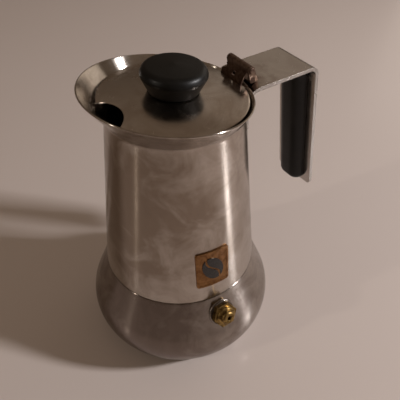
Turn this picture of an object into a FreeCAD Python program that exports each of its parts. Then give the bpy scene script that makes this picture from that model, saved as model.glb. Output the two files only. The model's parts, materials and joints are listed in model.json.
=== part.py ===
"""Stainless stovetop espresso maker: a bellied boiler with a conical pot screwed on top of it.

Origin at the middle of the boiler's underside, +Z up, handle and lid hinge towards +X, spout
towards -X, safety valve and badge towards -Y. Lengths are millimetres and angles are degrees.
"""

import FreeCAD, Part
import math
import os

import Sketcher
from FreeCAD import Placement, Rotation, Vector

SIZES = {
    # boiler
    "boiler_wall": 1.2,
    "base_thickness": 1.5,
    "bulge_radius": 52.2,
    "bulge_height": 24.8,
    "bulge_bend": 24.8,
    "shoulder_angle": 22.7,
    "foot_angle": 30.0,
    "foot_rounding": 6.0,
    "ledge_height": 55.0,
    "ledge_rounding": 0.5,
    "neck_radius": 38.0,
    "neck_height": 66.5,
    "neck_wall": 1.6,
    # funnel
    "flange_radius": 37.2,
    "basket_radius": 33.5,
    "basket_floor": 44.0,
    "funnel_wall": 0.8,
    "stem_radius": 4.5,
    "stem_foot": 7.0,
    "stem_top": 38.0,
    "sieve_thickness": 0.8,
    "seat_gap": 0.05,
    # gasket and filter
    "gasket_inner": 31.5,
    "gasket_outer": 37.4,
    "gasket_height": 2.4,
    "filter_radius": 31.2,
    "filter_gap": 0.1,
    "filter_hole": 0.75,
    "filter_pitch": 5.0,
    # pot
    "pot_radius": 41.85,
    "pot_bottom": 55.3,
    "throat_radius": 32.9,
    "throat_height": 148.9,
    "throat_bend": 5.0,
    "flare_radius": 47.8,
    "flare_height": 170.0,
    "pot_wall": 1.02,
    "pot_edge_rounding": 0.6,
    "rim_height": 158.5,
    "rim_tilt": 8.1,
    "pot_floor_thickness": 1.0,
    "thread_clearance": 0.06,
    "column_radius": 4.6,
    "column_bore": 3.6,
    "column_top": 125.0,
    "column_flange": 8.0,
    "cap_top": 131.0,
    "cap_wall": 0.9,
    # lid
    "lid_radius": 34.8,
    "lid_rise": 3.0,
    "lid_thickness": 0.8,
    "lid_height": 155.4,
    "lid_shift": -0.6,
    "lid_tilt": 3.5,
    "notch_reach": 27.1,
    "notch_radius": 13.9,
    "knob_radius": 15.5,
    "knob_base_radius": 11.8,
    "knob_top": 15.4,
    "knob_side_rounding": 3.0,
    "knob_top_rounding": 3.8,
    "screw_radius": 2.0,
    "screw_tip": 9.5,
    "screw_seat": 1.35,
    "washer_top": 2.1,
    # hinge
    "hinge_reach": 37.5,
    "hinge_rise": 6.7,
    "leaf_thickness": 0.7,
    "leaf_half_width": 7.2,
    "leaf_foot": 33.0,
    "leaf_sag": 0.3,
    "barrel_radius": 2.0,
    "pin_radius": 1.0,
    "pin_clearance": 0.06,
    "bracket_thickness": 0.9,
    "bracket_heel": 0.2,
    "bracket_toe": 4.4,
    # handle
    "strip_half_width": 13.6,
    "strip_thickness": 2.0,
    "strip_top": 152.9,
    "strip_corner": 76.7,
    "strip_lean": 7.7,
    "strip_bend": 5.5,
    "strip_bottom": 70.3,
    "strip_end_rounding": 2.5,
    "strip_rounding": 0.8,
    "root_bend": 9.0,
    "root_bottom": 131.5,
    "grip_depth": 6.6,
    "grip_half_width": 8.5,
    "grip_rounding": 6.3,
    "grip_end_rounding": 5.0,
    "grip_foot": 0.8,
    "grip_length": 80.4,
    "grip_screw_radius": 1.5,
    "grip_screw_depth": 5.0,
    # badge
    "badge_azimuth": -97.4,
    "badge_width": 18.3,
    "badge_height": 23.0,
    "badge_middle": 77.4,
    "badge_thickness": 0.5,
    "badge_border": 1.0,
    "badge_border_rise": 0.25,
    "badge_corner": 1.5,
    "badge_block_reach": 60.0,
    "bean_rise": 0.3,
    # safety valve
    "valve_azimuth": -93.5,
    "valve_height": 45.0,
    "valve_shank": 4.0,
    "valve_bore": 2.3,
    "valve_hexagon": 7.16,
    "valve_boss": 7.4,
    "valve_boss_rise": 0.45,
    "valve_boss_depth": 1.65,
    "valve_inner_end": -6.0,
    "valve_washer_radius": 6.9,
    "valve_washer_top": 1.05,
    "valve_bore_end": 5.5,
    "valve_spring_coil": 1.75,
    "valve_spring_wire": 0.3,
}

doc = FreeCAD.newDocument("espresso_maker")
sheet = doc.addObject("Spreadsheet::Sheet", "Sizes")


class Size:
    """A number kept together with the spreadsheet formula that gives it."""

    def __init__(self, value, formula):
        self.value = value
        self.formula = formula

    def __add__(self, other):
        return join(self, "+", other)

    def __radd__(self, other):
        return join(other, "+", self)

    def __sub__(self, other):
        return join(self, "-", other)

    def __rsub__(self, other):
        return join(other, "-", self)

    def __mul__(self, other):
        return join(self, "*", other)

    def __rmul__(self, other):
        return join(other, "*", self)

    def __truediv__(self, other):
        return join(self, "/", other)

    def __neg__(self):
        return join(0.0, "-", self)


def as_size(number):
    if isinstance(number, Size):
        return number
    return Size(float(number), repr(float(number)))


def join(left, sign, right):
    left = as_size(left)
    right = as_size(right)
    results = {
        "+": lambda: left.value + right.value,
        "-": lambda: left.value - right.value,
        "*": lambda: left.value * right.value,
        "/": lambda: left.value / right.value,
    }
    return Size(results[sign](), f"({left.formula} {sign} {right.formula})")


def sine(angle):
    return Size(math.sin(math.radians(angle.value)), f"sin({angle.formula})")


def cosine(angle):
    return Size(math.cos(math.radians(angle.value)), f"cos({angle.formula})")


def tangent(angle):
    return Size(math.tan(math.radians(angle.value)), f"tan({angle.formula})")


def root(number):
    return Size(math.sqrt(number.value), f"sqrt({number.formula})")


def size(alias):
    return Size(SIZES[alias], "Sizes." + alias)


def fill_sheet():
    for row, (alias, value) in enumerate(SIZES.items(), start=1):
        sheet.set(f"A{row}", alias)
        sheet.set(f"B{row}", str(value))
        sheet.setAlias(f"B{row}", alias)
    doc.recompute()


def bind(feature, name, amount):
    feature.setExpression(name, as_size(amount).formula)


# ---------------------------------------------------------------- sketches and features


def new_body(label):
    body = doc.addObject("PartDesign::Body", label)
    body.Label = label
    return body


def new_sketch(body, plane, name):
    sketch = body.newObject("Sketcher::SketchObject", name)
    origin_plane = next(part for part in body.Origin.OriginFeatures if part.Role == plane)
    sketch.AttachmentSupport = [(origin_plane, "")]
    sketch.MapMode = "FlatFace"
    return sketch


def fix(sketch, kind, geometry, end, distance):
    """Holds one end of a sketch line at a signed distance from the sketch's origin."""
    distance = as_size(distance)
    if abs(distance.value) < 1e-9:
        axis = -2 if kind == "DistanceX" else -1
        sketch.addConstraint(Sketcher.Constraint("PointOnObject", geometry, end, axis))
        return
    index = sketch.addConstraint(
        Sketcher.Constraint(kind, -1, 1, geometry, end, distance.value)
    )
    bind(sketch, f"Constraints[{index}]", distance)


def short_arc(start, end, centre):
    """The arc of less than half a turn between two points, and which of its ends is the start.

    A sketch's arcs all run anticlockwise, so one that goes clockwise is drawn from its end.
    """
    middle = Vector(as_size(centre[0]).value, as_size(centre[1]).value, 0)
    to_start = start - middle
    to_end = end - middle
    to_way = (to_start + to_end).normalize() * to_start.Length
    if to_start.cross(to_end).z > 0:
        return Part.Arc(start, middle + to_way, end), 1
    return Part.Arc(end, middle + to_way, start), 2


def outline(body, plane, name, corners, arcs=None):
    """A closed outline. arcs maps a corner's number to the centre of the arc that starts there."""
    arcs = arcs or {}
    sketch = new_sketch(body, plane, name)
    points = [Vector(as_size(x).value, as_size(y).value, 0) for x, y in corners]
    starts = []
    for number, start in enumerate(points):
        end = points[(number + 1) % len(points)]
        if number in arcs:
            arc, first = short_arc(start, end, arcs[number])
            geometry = sketch.addGeometry(arc, False)
            starts.append(first)
            upright = abs(end.y - start.y) > abs(end.x - start.x)
            kind, place_of_centre = ("DistanceX", 0) if upright else ("DistanceY", 1)
            fix(sketch, kind, geometry, 3, arcs[number][place_of_centre])
        else:
            geometry = sketch.addGeometry(Part.LineSegment(start, end), False)
            starts.append(1)
    for number, (x, y) in enumerate(corners):
        after = (number + 1) % len(points)
        sketch.addConstraint(
            Sketcher.Constraint("Coincident", number, 3 - starts[number], after, starts[after])
        )
        fix(sketch, "DistanceX", number, starts[number], x)
        fix(sketch, "DistanceY", number, starts[number], y)
    return sketch


def circle(body, plane, name, x, y, radius):
    sketch = new_sketch(body, plane, name)
    centre = Vector(as_size(x).value, as_size(y).value, 0)
    sketch.addGeometry(Part.Circle(centre, Vector(0, 0, 1), as_size(radius).value), False)
    fix(sketch, "DistanceX", 0, 3, x)
    fix(sketch, "DistanceY", 0, 3, y)
    index = sketch.addConstraint(Sketcher.Constraint("Radius", 0, as_size(radius).value))
    bind(sketch, f"Constraints[{index}]", radius)
    return sketch


def turn(body, sketch, name, kind="PartDesign::Revolution"):
    feature = body.newObject(kind, name)
    feature.Profile = sketch
    feature.ReferenceAxis = (sketch, ["V_Axis"])
    feature.Angle = 360
    return feature


def pad(body, sketch, name, length, both_ways=False, backwards=False):
    feature = body.newObject("PartDesign::Pad", name)
    feature.Profile = sketch
    feature.SideType = "Symmetric" if both_ways else "One side"
    feature.Reversed = backwards
    bind(feature, "Length", length)
    return feature


def pocket_through(body, sketch, name):
    """Cuts the sketch through the whole body, both ways."""
    feature = body.newObject("PartDesign::Pocket", name)
    feature.Profile = sketch
    feature.SideType = "Symmetric"
    feature.Type = "ThroughAll"
    return feature


def round_edges(body, name, radius, wanted, kind="PartDesign::Fillet"):
    """Rounds, or chamfers, each edge of the body's last feature that wanted() picks."""
    doc.recompute()
    base = body.Tip
    names = [
        f"Edge{number}"
        for number, edge in enumerate(base.Shape.Edges, start=1)
        if wanted(edge)
    ]
    if not names:
        raise RuntimeError(f"{body.Label}: no edge for {name}")
    feature = body.newObject(kind, name)
    feature.Base = (base, names)
    bind(feature, "Radius" if kind.endswith("Fillet") else "Size", radius)
    return feature


def ring_edge(radius, height):
    """Picks the circular edge with this radius about Z at this height."""

    def wanted(edge):
        box = edge.BoundBox
        flat = box.ZLength < 1e-6 and abs(box.ZMin - height) < 1e-3
        return flat and abs(box.XMax - radius) < 1e-3 and abs(box.YMax - radius) < 1e-3

    return wanted


def washer_outline(body, name, inner, outer, low, high):
    corners = [(inner, low), (outer, low), (outer, high), (inner, high)]
    return outline(body, "XZ_Plane", name, corners)


def place(piece, position, rotation=None):
    piece.Placement = Placement(position, rotation or Rotation())
    return piece


def cylinder(name, radius, low, high, frame):
    """A Part cylinder from low to high along the Z axis of a frame."""
    piece = doc.addObject("Part::Cylinder", name)
    bind(piece, "Radius", radius)
    bind(piece, "Height", as_size(high) - low)
    piece.Placement = frame * Placement(Vector(0, 0, as_size(low).value), Rotation())
    return piece


def boolean(kind, label, base, tool):
    result = doc.addObject(kind, label)
    result.Base = base
    result.Tool = tool
    result.Label = label
    return result


# ---------------------------------------------------------------- shared geometry


def shoulder_radius(height):
    """The boiler's outer radius on its conical shoulder."""
    bend = size("bulge_bend")
    angle = size("shoulder_angle")
    top_of_bend = size("bulge_height") + bend * sine(angle)
    radius_there = size("bulge_radius") - bend + bend * cosine(angle)
    return radius_there - (as_size(height) - top_of_bend) * tangent(angle)


def pot_slope():
    return (size("pot_radius") - size("throat_radius")) / (
        size("throat_height") - size("pot_bottom")
    )


def pot_outer(height):
    return size("pot_radius") - (as_size(height) - size("pot_bottom")) * pot_slope()


def pot_inner(height):
    return pot_outer(height) - size("pot_wall")


def lid_frame():
    position = Vector(size("lid_shift").value, 0, size("lid_height").value)
    return Placement(position, Rotation(Vector(0, 1, 0), size("lid_tilt").value))


def lid_crown():
    """The radius of the ball that the lid's upper face is part of."""
    edge = size("lid_radius")
    rise = size("lid_rise")
    return (edge * edge + rise * rise) / (2 * rise)


def lid_top(radius):
    """Height of the lid's crowned upper face above its edge, in the lid's frame."""
    crown = lid_crown()
    radius = as_size(radius)
    return size("lid_rise") - crown + root(crown * crown - radius * radius)


def hinge_axis():
    """The lid hinge's axis runs along Y through this point."""
    local = Vector(size("hinge_reach").value, 0, size("hinge_rise").value)
    return lid_frame().multVec(local)


def valve_frame():
    """Origin where the valve leaves the boiler's shoulder, +Z out of the wall."""
    azimuth = math.radians(size("valve_azimuth").value)
    lift = math.radians(size("shoulder_angle").value)
    height = size("valve_height").value
    radius = shoulder_radius(height).value
    outward = Vector(
        math.cos(azimuth) * math.cos(lift), math.sin(azimuth) * math.cos(lift), math.sin(lift)
    )
    position = Vector(radius * math.cos(azimuth), radius * math.sin(azimuth), height)
    return Placement(position, Rotation(Vector(0, 0, 1), outward))


def grip_frame():
    """Origin on the inner face of the handle's upright, level with its end, +Z up along it."""
    lean = math.radians(size("strip_lean").value)
    drop = (size("strip_top") - size("strip_bottom")).value
    end = Vector(
        size("strip_corner").value + drop * math.tan(lean), 0, size("strip_bottom").value
    )
    inward = Vector(-math.cos(lean), 0, -math.sin(lean)) * size("strip_thickness").value
    return Placement(end + inward, Rotation(Vector(0, 1, 0), -size("strip_lean").value))


# ---------------------------------------------------------------- boiler


def boiler_outline(body):
    wall = size("boiler_wall")
    bend = size("bulge_bend")
    height = size("bulge_height")
    centre = size("bulge_radius") - bend
    foot = size("foot_angle")
    shoulder = size("shoulder_angle")
    ledge = size("ledge_height")
    inner_bend = bend - wall
    inside = wall / cosine(shoulder)
    foot_height = height - bend * sine(foot)
    foot_radius = centre + bend * cosine(foot)
    inner_foot_height = height - inner_bend * sine(foot)
    inner_foot_radius = centre + inner_bend * cosine(foot)
    floor_height = size("base_thickness")
    neck_inner = size("neck_radius") - size("neck_wall")
    corners = [
        (0, 0),
        (foot_radius - foot_height * tangent(foot), 0),
        (foot_radius, foot_height),
        (centre + bend * cosine(shoulder), height + bend * sine(shoulder)),
        (shoulder_radius(ledge), ledge),
        (size("neck_radius"), ledge),
        (size("neck_radius"), size("neck_height")),
        (neck_inner, size("neck_height")),
        (neck_inner, ledge - wall),
        (shoulder_radius(ledge - wall) - inside, ledge - wall),
        (centre + inner_bend * cosine(shoulder), height + inner_bend * sine(shoulder)),
        (inner_foot_radius, inner_foot_height),
        (inner_foot_radius - (inner_foot_height - floor_height) * tangent(foot), floor_height),
        (0, floor_height),
    ]
    arcs = {2: (centre, height), 10: (centre, height)}
    return outline(body, "XZ_Plane", "boiler_section", corners, arcs)


def make_boiler():
    body = new_body("boiler_shell")
    turn(body, boiler_outline(body), "boiler_turned")
    foot_corner = boiler_foot_radius()
    round_edges(body, "foot_rounded", size("foot_rounding"), ring_edge(foot_corner, 0))
    ledge = size("ledge_height")
    edge = ring_edge(shoulder_radius(ledge).value, ledge.value)
    round_edges(body, "ledge_rounded", size("ledge_rounding"), edge)
    depth = size("valve_boss_depth")
    boss = cylinder(
        "valve_boss", size("valve_boss"), -depth, size("valve_boss_rise"), valve_frame()
    )
    past_wall = 4.0
    hole = cylinder("valve_hole", size("valve_shank"), -past_wall, past_wall, valve_frame())
    with_boss = boolean("Part::Fuse", "boiler_with_boss", body, boss)
    return boolean("Part::Cut", "boiler", with_boss, hole)


def boiler_foot_radius():
    bend = size("bulge_bend")
    foot = size("foot_angle")
    radius = size("bulge_radius") - bend + bend * cosine(foot)
    return (radius - (size("bulge_height") - bend * sine(foot)) * tangent(foot)).value


# ---------------------------------------------------------------- funnel, gasket and filter


def ring_holes(body, radius, pitch, rings):
    """A hole in the middle and rings of six, twelve, eighteen and more holes around it."""
    middle = circle(body, "XY_Plane", "middle_hole", 0, 0, radius)
    pocket_through(body, middle, "middle_hole_cut")
    for ring in range(1, rings + 1):
        sketch = circle(body, "XY_Plane", f"hole_{ring}", pitch * ring, 0, radius)
        cut = pocket_through(body, sketch, f"hole_{ring}_cut")
        doc.recompute()
        pattern = body.newObject("PartDesign::PolarPattern", f"holes_{ring}")
        pattern.Originals = [cut]
        pattern.Axis = (sketch, ["N_Axis"])
        pattern.Angle = 360
        pattern.Occurrences = 6 * ring
        body.Tip = pattern
        doc.recompute()


def make_sieve(label, radius, low, thickness):
    """A flat perforated disc, built at the origin and lifted to its height."""
    body = new_body(label)
    disc = circle(body, "XY_Plane", label + "_disc", 0, 0, radius)
    pad(body, disc, label + "_plate", thickness)
    rings = 5
    ring_holes(body, size("filter_hole"), size("filter_pitch"), rings)
    body.setExpression("Placement.Base.z", as_size(low).formula)
    return body


def make_funnel():
    body = new_body("funnel")
    wall = size("funnel_wall")
    outer = size("basket_radius")
    stem = size("stem_radius")
    seat = size("neck_height") + size("seat_gap")
    floor_height = size("basket_floor")
    slant_thickness = 0.6
    corners = [
        (stem - wall, size("stem_foot")),
        (stem, size("stem_foot")),
        (stem, size("stem_top")),
        (outer, floor_height),
        (outer, seat),
        (size("flange_radius"), seat),
        (size("flange_radius"), seat + wall),
        (outer - wall, seat + wall),
        (outer - wall, floor_height + slant_thickness),
        (stem - wall, size("stem_top") + slant_thickness),
    ]
    turn(body, outline(body, "XZ_Plane", "funnel_section", corners), "funnel_turned")
    return body


def gasket_low():
    return size("neck_height") + size("funnel_wall") + 2 * size("seat_gap")


def pot_floor_low():
    return gasket_low() + size("gasket_height")


def make_gasket():
    body = new_body("gasket")
    low = gasket_low()
    section = washer_outline(
        body, "gasket_section", size("gasket_inner"), size("gasket_outer"), low, pot_floor_low()
    )
    turn(body, section, "gasket_turned")
    return body


# ---------------------------------------------------------------- pot


def make_pot():
    body = new_body("pot")
    wall = size("pot_wall")
    corners = [
        (size("pot_radius") - wall, size("pot_bottom")),
        (size("pot_radius"), size("pot_bottom")),
        (size("throat_radius"), size("throat_height")),
        (size("flare_radius"), size("flare_height")),
        (size("flare_radius") - wall, size("flare_height")),
        (size("throat_radius") - wall, size("throat_height")),
    ]
    turn(body, outline(body, "XZ_Plane", "pot_section", corners), "pot_turned")
    throat = size("throat_radius").value
    height = size("throat_height").value
    round_edges(body, "throat_outside", size("throat_bend"), ring_edge(throat, height))
    inner = throat - wall.value
    round_edges(body, "throat_inside", size("throat_bend") + wall, ring_edge(inner, height))
    lower = ring_edge(size("pot_radius").value, size("pot_bottom").value)
    round_edges(body, "lower_edge", size("pot_edge_rounding"), lower)
    trim_rim(body)
    return body


def trim_rim(body):
    """Cuts the flare off along a plane that falls from the spout to the hinge."""
    far = 60.0
    above = 30.0
    fall = far * tangent(size("rim_tilt"))
    corners = [
        (-far, size("rim_height") + fall),
        (far, size("rim_height") - fall),
        (far, size("rim_height") + above),
        (-far, size("rim_height") + above),
    ]
    pocket_through(body, outline(body, "XZ_Plane", "rim_plane", corners), "rim_trimmed")


def make_thread_ring():
    """The internally threaded ring rolled into the pot's lower end."""
    body = new_body("thread_ring")
    step_in = 0.8
    past_neck = 0.3
    low = size("pot_bottom") + step_in
    high = size("neck_height") + past_neck
    inner = size("neck_radius") + size("thread_clearance")
    corners = [(inner, low), (pot_inner(low), low), (pot_inner(high), high), (inner, high)]
    turn(body, outline(body, "XZ_Plane", "ring_section", corners), "ring_turned")
    return body


def make_pot_floor():
    body = new_body("pot_floor")
    low = pot_floor_low()
    high = low + size("pot_floor_thickness")
    bore = size("column_bore")
    corners = [(bore, low), (pot_inner(low), low), (pot_inner(high), high), (bore, high)]
    turn(body, outline(body, "XZ_Plane", "floor_section", corners), "floor_turned")
    return body


def make_column():
    body = new_body("coffee_column")
    low = pot_floor_low() + size("pot_floor_thickness")
    flange_top = low + 0.8
    foot_flare = 0.8
    corners = [
        (size("column_bore"), low),
        (size("column_flange"), low),
        (size("column_flange"), flange_top),
        (size("column_radius") + foot_flare, flange_top),
        (size("column_radius"), size("column_top")),
        (size("column_bore"), size("column_top")),
    ]
    turn(body, outline(body, "XZ_Plane", "column_section", corners), "column_turned")
    return body


def make_column_cap():
    """A closed cap on the column, with a window on each side for the coffee."""
    body = new_body("column_cap")
    outer = size("column_radius") + size("cap_wall")
    low = size("column_top")
    top = size("cap_top")
    taper = 0.5
    crown = 0.6
    corners = [
        (size("column_bore"), low),
        (outer, low),
        (outer - taper, top),
        (0, top + crown),
        (0, top - size("cap_wall")),
        (size("column_bore"), top - size("cap_wall")),
    ]
    turn(body, outline(body, "XZ_Plane", "cap_section", corners), "cap_turned")
    half = 2.0
    sill = low + 1.2
    head = low + 4.2
    window = [(-half, sill), (half, sill), (half, head), (-half, head)]
    pocket_through(body, outline(body, "XZ_Plane", "cap_window", window), "cap_windows")
    return body


# ---------------------------------------------------------------- lid and knob


def make_lid():
    body = new_body("lid")
    edge = size("lid_radius")
    thick = size("lid_thickness")
    bore = size("screw_radius")
    inner = lid_top(bore)
    centre = size("lid_rise") - lid_crown()
    corners = [(bore, inner - thick), (edge, -thick), (edge, 0), (bore, inner)]
    arcs = {0: (0, centre - thick), 2: (0, centre)}
    turn(body, outline(body, "XZ_Plane", "lid_section", corners, arcs), "lid_turned")
    pocket_through(body, spout_notch(body), "spout_notch_cut")
    pocket_through(body, hinge_notch(body), "hinge_notch_cut")
    body.Placement = lid_frame()
    return body


def spout_notch(body):
    """The round bite out of the lid's edge over the spout side."""
    radius = size("notch_radius")
    return circle(body, "XY_Plane", "spout_notch", -(size("notch_reach") + radius), 0, radius)


def hinge_notch(body):
    """The shallow notch in the lid's edge that the hinge leaf comes up through."""
    seam = 0.05
    side_room = 1.6
    near = size("leaf_foot") - seam
    half = size("leaf_half_width") + side_room
    far = 40.0
    corners = [(near, -half), (far, -half), (far, half), (near, half)]
    return outline(body, "XY_Plane", "hinge_notch", corners)


def make_knob():
    body = new_body("knob")
    wide = size("knob_radius")
    base = size("knob_base_radius")
    top = size("knob_top")
    seam = 0.02
    low = lid_top(base) + seam
    middle = lid_top(0.0) + seam
    foot_lip = 1.0
    foot_height = 0.8
    widest_height = top - 4.6
    shoulder_height = top - 1.0
    shoulder_radius_there = wide - 1.5
    corners = [
        (0, middle),
        (base - foot_lip, low),
        (base, low + foot_height),
        (wide, widest_height),
        (shoulder_radius_there, shoulder_height),
        (0, top),
    ]
    turn(body, outline(body, "XZ_Plane", "knob_section", corners), "knob_turned")
    side = ring_edge(wide.value, widest_height.value)
    round_edges(body, "knob_side_rounded", size("knob_side_rounding"), side)
    shoulder = ring_edge(shoulder_radius_there.value, shoulder_height.value)
    round_edges(body, "knob_top_rounded", size("knob_top_rounding"), shoulder)
    hole = circle(body, "XY_Plane", "knob_hole", 0, 0, size("screw_radius"))
    cut = body.newObject("PartDesign::Pocket", "knob_hole_cut")
    cut.Profile = hole
    cut.Reversed = True
    bind(cut, "Length", size("screw_tip") + 0.5)
    body.Placement = lid_frame()
    return body


def make_knob_washer():
    body = new_body("knob_washer")
    outer = 5.0
    section = washer_outline(
        body,
        "knob_washer_section",
        size("screw_radius"),
        outer,
        size("screw_seat"),
        size("washer_top"),
    )
    turn(body, section, "knob_washer_turned")
    body.Placement = lid_frame()
    return body


def make_knob_screw():
    body = new_body("knob_screw")
    head_top = size("screw_seat")
    head_low = head_top - 1.9
    corner = head_top - 1.0
    head = 3.4
    face = 2.6
    corners = [
        (0, head_low),
        (face, head_low),
        (head, corner),
        (head, head_top),
        (size("screw_radius"), head_top),
        (size("screw_radius"), size("screw_tip")),
        (0, size("screw_tip")),
    ]
    turn(body, outline(body, "XZ_Plane", "knob_screw_section", corners), "knob_screw_turned")
    half = 0.45
    length = 2.4
    deeper_than_head = 2.0
    slot = [(-length, -half), (length, -half), (length, half), (-length, half)]
    cut = body.newObject("PartDesign::Pocket", "driver_slot_cut")
    cut.Profile = outline(body, "XY_Plane", "driver_slot", slot)
    cut.Length = deeper_than_head
    body.Placement = lid_frame()
    return body


# ---------------------------------------------------------------- hinge


def make_hinge_leaf():
    """A bent sheet: a tab under the lid, a leaning upright and a barrel around the pin."""
    body = new_body("hinge_leaf")
    thick = size("leaf_thickness")
    foot = size("leaf_foot")
    reach = size("hinge_reach")
    rise = size("hinge_rise")
    half = size("leaf_half_width")
    lobe = 1.4
    tab_start = 24.0
    bend = 0.15
    knee = 1.0
    outer_knee = 0.7
    into_barrel = 0.1
    under = size("lid_thickness") + size("leaf_sag")
    tab_high = lid_top(tab_start) - under
    tab_low = lid_top(foot) - under
    barrel_side = reach - size("barrel_radius") + into_barrel
    corners = [
        (tab_start, tab_high),
        (foot - bend, tab_low),
        (foot, tab_low + bend),
        (foot, knee),
        (barrel_side, rise),
        (barrel_side + thick, rise),
        (foot + thick, outer_knee),
        (foot + thick, tab_low),
        (foot, tab_low - thick),
        (tab_start, tab_high - thick),
    ]
    upright = outline(body, "XZ_Plane", "leaf_section", corners)
    pad(body, upright, "leaf_bent", 2 * (half + lobe), both_ways=True)
    barrel = circle(body, "XZ_Plane", "barrel_section", reach, rise, size("barrel_radius"))
    pad(body, barrel, "barrel_rolled", 2 * half, both_ways=True)
    bore = circle(
        body, "XZ_Plane", "barrel_bore", reach, rise, size("pin_radius") + size("pin_clearance")
    )
    pocket_through(body, bore, "barrel_bored")
    trim_leaf(body, half, lobe)
    hole_half = 1.1
    hole_middle = 2.7
    square = [
        (-hole_half, hole_middle - hole_half),
        (hole_half, hole_middle - hole_half),
        (hole_half, hole_middle + hole_half),
        (-hole_half, hole_middle + hole_half),
    ]
    pocket_through(body, outline(body, "YZ_Plane", "square_hole", square), "square_hole_cut")
    body.Placement = lid_frame()
    return body


def trim_leaf(body, half, lobe):
    """Narrows the leaf to its barrel, but leaves a low lobe at its far end."""
    beyond = 12.0
    below = -4.0
    lobe_top = 2.4
    notch_depth = 0.9
    notch_bottom = 3.2
    notch_top = 4.2
    barrel_low = 4.8
    near = [(-beyond, below), (-half, below), (-half, beyond), (-beyond, beyond)]
    far = [
        (half + lobe, below),
        (beyond, below),
        (beyond, beyond),
        (half, beyond),
        (half, barrel_low),
        (half - notch_depth, notch_top),
        (half - notch_depth, notch_bottom),
        (half + lobe, lobe_top),
    ]
    pocket_through(body, outline(body, "YZ_Plane", "near_end", near), "near_end_trimmed")
    pocket_through(body, outline(body, "YZ_Plane", "far_end", far), "far_end_trimmed")


def ear_inner():
    """How far the bracket's ears stand from the middle, just clear of the barrel's ends."""
    side_play = 0.35
    return size("leaf_half_width") + side_play


def bracket_ear(body, name, inner, outward):
    """One upright ear beside the barrel, with its round top about the pin."""
    axis = hinge_axis()
    top_radius = 2.0
    front = axis.x - 0.4
    heel = axis.x + size("bracket_heel").value
    toe = axis.x + size("bracket_toe").value
    strip_top = size("strip_top").value
    base_top = strip_top + size("bracket_thickness").value
    corners = [
        (heel, strip_top),
        (toe, strip_top),
        (toe, base_top),
        (axis.x + top_radius, axis.z),
        (axis.x, axis.z + top_radius),
        (axis.x - top_radius, axis.z),
        (front, base_top),
    ]
    arcs = {3: (axis.x, axis.z), 4: (axis.x, axis.z)}
    sketch = outline(body, "XZ_Plane", name, corners, arcs)
    sketch.AttachmentOffset = Placement(Vector(0, 0, -inner), Rotation())
    return pad(body, sketch, name + "_bent", size("bracket_thickness"), backwards=outward)


def make_hinge_bracket():
    body = new_body("hinge_bracket")
    axis = hinge_axis()
    thick = size("bracket_thickness")
    inner = ear_inner()
    heel = axis.x + size("bracket_heel").value
    toe = axis.x + size("bracket_toe").value
    front = axis.x - 0.1
    strip_top = size("strip_top").value
    base_top = strip_top + thick.value
    base = [(heel, strip_top), (toe, strip_top), (toe, base_top), (front, base_top)]
    sketch = outline(body, "XZ_Plane", "bracket_base", base)
    pad(body, sketch, "bracket_base_flat", 2 * (inner + thick), both_ways=True)
    bracket_ear(body, "far_ear", inner.value, True)
    bracket_ear(body, "near_ear", -inner.value, False)
    hole = circle(body, "XZ_Plane", "ear_holes", axis.x, axis.z, size("pin_radius"))
    pocket_through(body, hole, "ear_holes_cut")
    return body


def make_hinge_pin():
    """The pin, headed at both ends."""
    body = new_body("hinge_pin")
    axis = hinge_axis()
    radius = size("pin_radius")
    half = ear_inner() + size("bracket_thickness")
    end = half + 0.8
    side = half + 0.4
    head = radius + 0.6
    face = radius + 0.2
    corners = [
        (0, -end),
        (face, -end),
        (head, -side),
        (head, -half),
        (radius, -half),
        (radius, half),
        (head, half),
        (head, side),
        (face, end),
        (0, end),
    ]
    turn(body, outline(body, "XZ_Plane", "pin_section", corners), "pin_turned")
    return place(body, axis, Rotation(Vector(1, 0, 0), 90))


# ---------------------------------------------------------------- handle


def strip_outline(body):
    """Side view of the strip: root web, bend, top, bend and leaning upright."""
    thick = size("strip_thickness")
    top = size("strip_top")
    lean = size("strip_lean")
    corner = size("strip_corner")
    root = pot_outer(top - size("root_bend"))
    root_bend = size("root_bend")
    below_bend = 1.0
    into_wall = 5.0
    low = top - root_bend - below_bend
    inside = root - into_wall
    bend = size("strip_bend")
    centre_x = corner - bend * tangent((90 - lean) / 2)
    centre_z = top - bend
    end_x = corner + (top - size("strip_bottom")) * tangent(lean)
    end_z = size("strip_bottom")
    corners = [
        (inside, low),
        (inside, top - root_bend),
        (root, top - root_bend),
        (root + root_bend, top),
        (centre_x, top),
        (centre_x + bend * cosine(lean), centre_z + bend * sine(lean)),
        (end_x, end_z),
        (end_x - thick * cosine(lean), end_z - thick * sine(lean)),
        (centre_x + (bend - thick) * cosine(lean), centre_z + (bend - thick) * sine(lean)),
        (centre_x, top - thick),
        (root + root_bend, top - thick),
        (root + thick, top - root_bend),
        (root + thick, low),
    ]
    root_centre = (root + root_bend, top - root_bend)
    corner_centre = (centre_x, centre_z)
    arcs = {2: root_centre, 4: corner_centre, 8: corner_centre, 10: root_centre}
    return outline(body, "XZ_Plane", "strip_section", corners, arcs)


def root_flange(body):
    """The end of the strip, pressed to the pot's wall and welded to it."""
    low = size("root_bottom")
    high = size("strip_top") - size("root_bend")
    thick = size("strip_thickness")
    corners = [
        (pot_outer(low), low),
        (pot_outer(low) + thick, low),
        (pot_outer(high) + thick, high),
        (pot_outer(high), high),
    ]
    sketch = outline(body, "XZ_Plane", "flange_section", corners)
    feature = turn(body, sketch, "root_flange")
    feature.Midplane = True
    widest = (pot_outer(low) + thick).value
    feature.Angle = 2 * math.degrees(math.asin(size("strip_half_width").value / widest))
    return feature


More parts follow.
